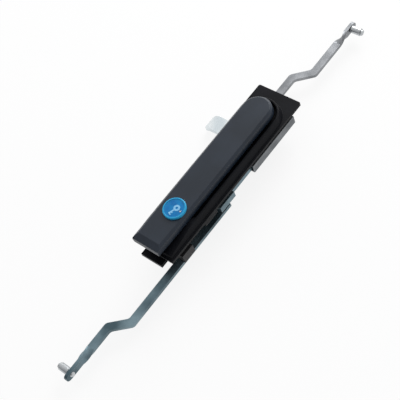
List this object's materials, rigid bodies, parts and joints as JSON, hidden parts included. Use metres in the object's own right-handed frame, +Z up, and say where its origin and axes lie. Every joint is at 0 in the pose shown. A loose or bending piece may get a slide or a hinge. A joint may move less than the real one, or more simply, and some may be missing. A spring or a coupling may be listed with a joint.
{
  "type": "three-point lock",
  "caption": "Swing-handle lock for a cabinet door: the handle turns a cam and, through a pinion and racks, draws in an upper and a lower rod with rollers.",
  "frame": {"origin": "where the spindle axis meets the outer face of the door, which is the back face of the door seal", "axes": "+Z up the lock along the rods, +X to the right seen from in front of the door, -Y out of the door towards the user"},
  "size_m": [0.0709, 0.0455, 0.3665],
  "materials": {
    "black_cast": "satin black powder coat on cast zinc",
    "handle_cast": "satin black powder coat, slightly smoother on the handle",
    "zinc_steel": "bright zinc plate with a faint blue-green cast",
    "bright_steel": "ground steel",
    "rubber": "matt",
    "brass": "plain turned",
    "blue_cap": "glossy, faintly moulded",
    "black_plastic": "fine spark texture"
  },
  "bodies": {
    "housing": {"base_pan": "black_cast", "door_seal": "rubber", "spindle_bush": "brass", "spindle_seal": "rubber", "gear_case": "zinc_steel", "gear_case_plate": "zinc_steel", "case_spacers": "zinc_steel", "case_screws": "zinc_steel", "clamp_bracket": "black_cast", "clamp_screw": "zinc_steel", "rod_guide": "black_plastic", "guide_screw": "zinc_steel"},
    "spindle": {"spindle": "black_cast", "handle_pin": "bright_steel", "handle_spring": "bright_steel", "pinion": "bright_steel", "cam_latch": "zinc_steel", "cam_collar": "zinc_steel", "cam_washer": "zinc_steel", "cam_screw": "zinc_steel"},
    "handle": {"handle": "handle_cast", "lock_barrel": "bright_steel", "cap_pin": "bright_steel"},
    "plug": {"lock_plug": "bright_steel", "plug_latch": "zinc_steel", "latch_screw": "zinc_steel"},
    "dust_cap": {"dust_cap": "blue_cap"},
    "upper_rod": {"upper_rack": "zinc_steel", "upper_rod": "zinc_steel", "upper_rod_screw": "zinc_steel", "upper_roller_pin": "bright_steel"},
    "upper_roller": {"upper_roller": "bright_steel"},
    "lower_rod": {"lower_rack": "zinc_steel", "lower_rod": "zinc_steel", "lower_rod_screw": "zinc_steel", "lower_roller_pin": "bright_steel"},
    "lower_roller": {"lower_roller": "bright_steel"}
  },
  "joints": [
    {"name": "swing", "type": "hinge", "parent": "housing", "child": "spindle", "pos_m": [0, 0, 0], "axis": [0, -1, 0], "range_deg": [0, 90]},
    {"name": "handle_lift", "type": "hinge", "parent": "spindle", "child": "handle", "pos_m": [0, -0.0065, 0.004], "axis": [-1, 0, 0], "range_deg": [0, 25], "stiffness_Nm_per_rad": 0.02, "springref_deg": -17.19},
    {"name": "plug_turn", "type": "hinge", "parent": "handle", "child": "plug", "pos_m": [0, -0.0162, -0.101], "axis": [0, -1, 0], "range_deg": [0, 90]},
    {"name": "cap_swivel", "type": "hinge", "parent": "handle", "child": "dust_cap", "pos_m": [0.0073, -0.0172, -0.101], "axis": [0, -1, 0], "range_deg": [0, 120]},
    {"name": "upper_slide", "type": "slide", "parent": "housing", "child": "upper_rod", "axis": [0, 0, -1], "range_m": [0, 0.0158]},
    {"name": "lower_slide", "type": "slide", "parent": "housing", "child": "lower_rod", "axis": [0, 0, 1], "range_m": [0, 0.0158]},
    {"name": "upper_roller_spin", "type": "hinge", "parent": "upper_rod", "child": "upper_roller", "pos_m": [0.0055, 0.0176, 0.1205], "axis": [1, 0, 0], "continuous": true},
    {"name": "lower_roller_spin", "type": "hinge", "parent": "lower_rod", "child": "lower_roller", "pos_m": [-0.0055, 0.0176, -0.234], "axis": [1, 0, 0], "continuous": true}
  ],
  "couplings": [
    {"joint": "upper_slide", "follows": "swing", "m_per_rad": 0.01},
    {"joint": "lower_slide", "follows": "swing", "m_per_rad": 0.01}
  ]
}
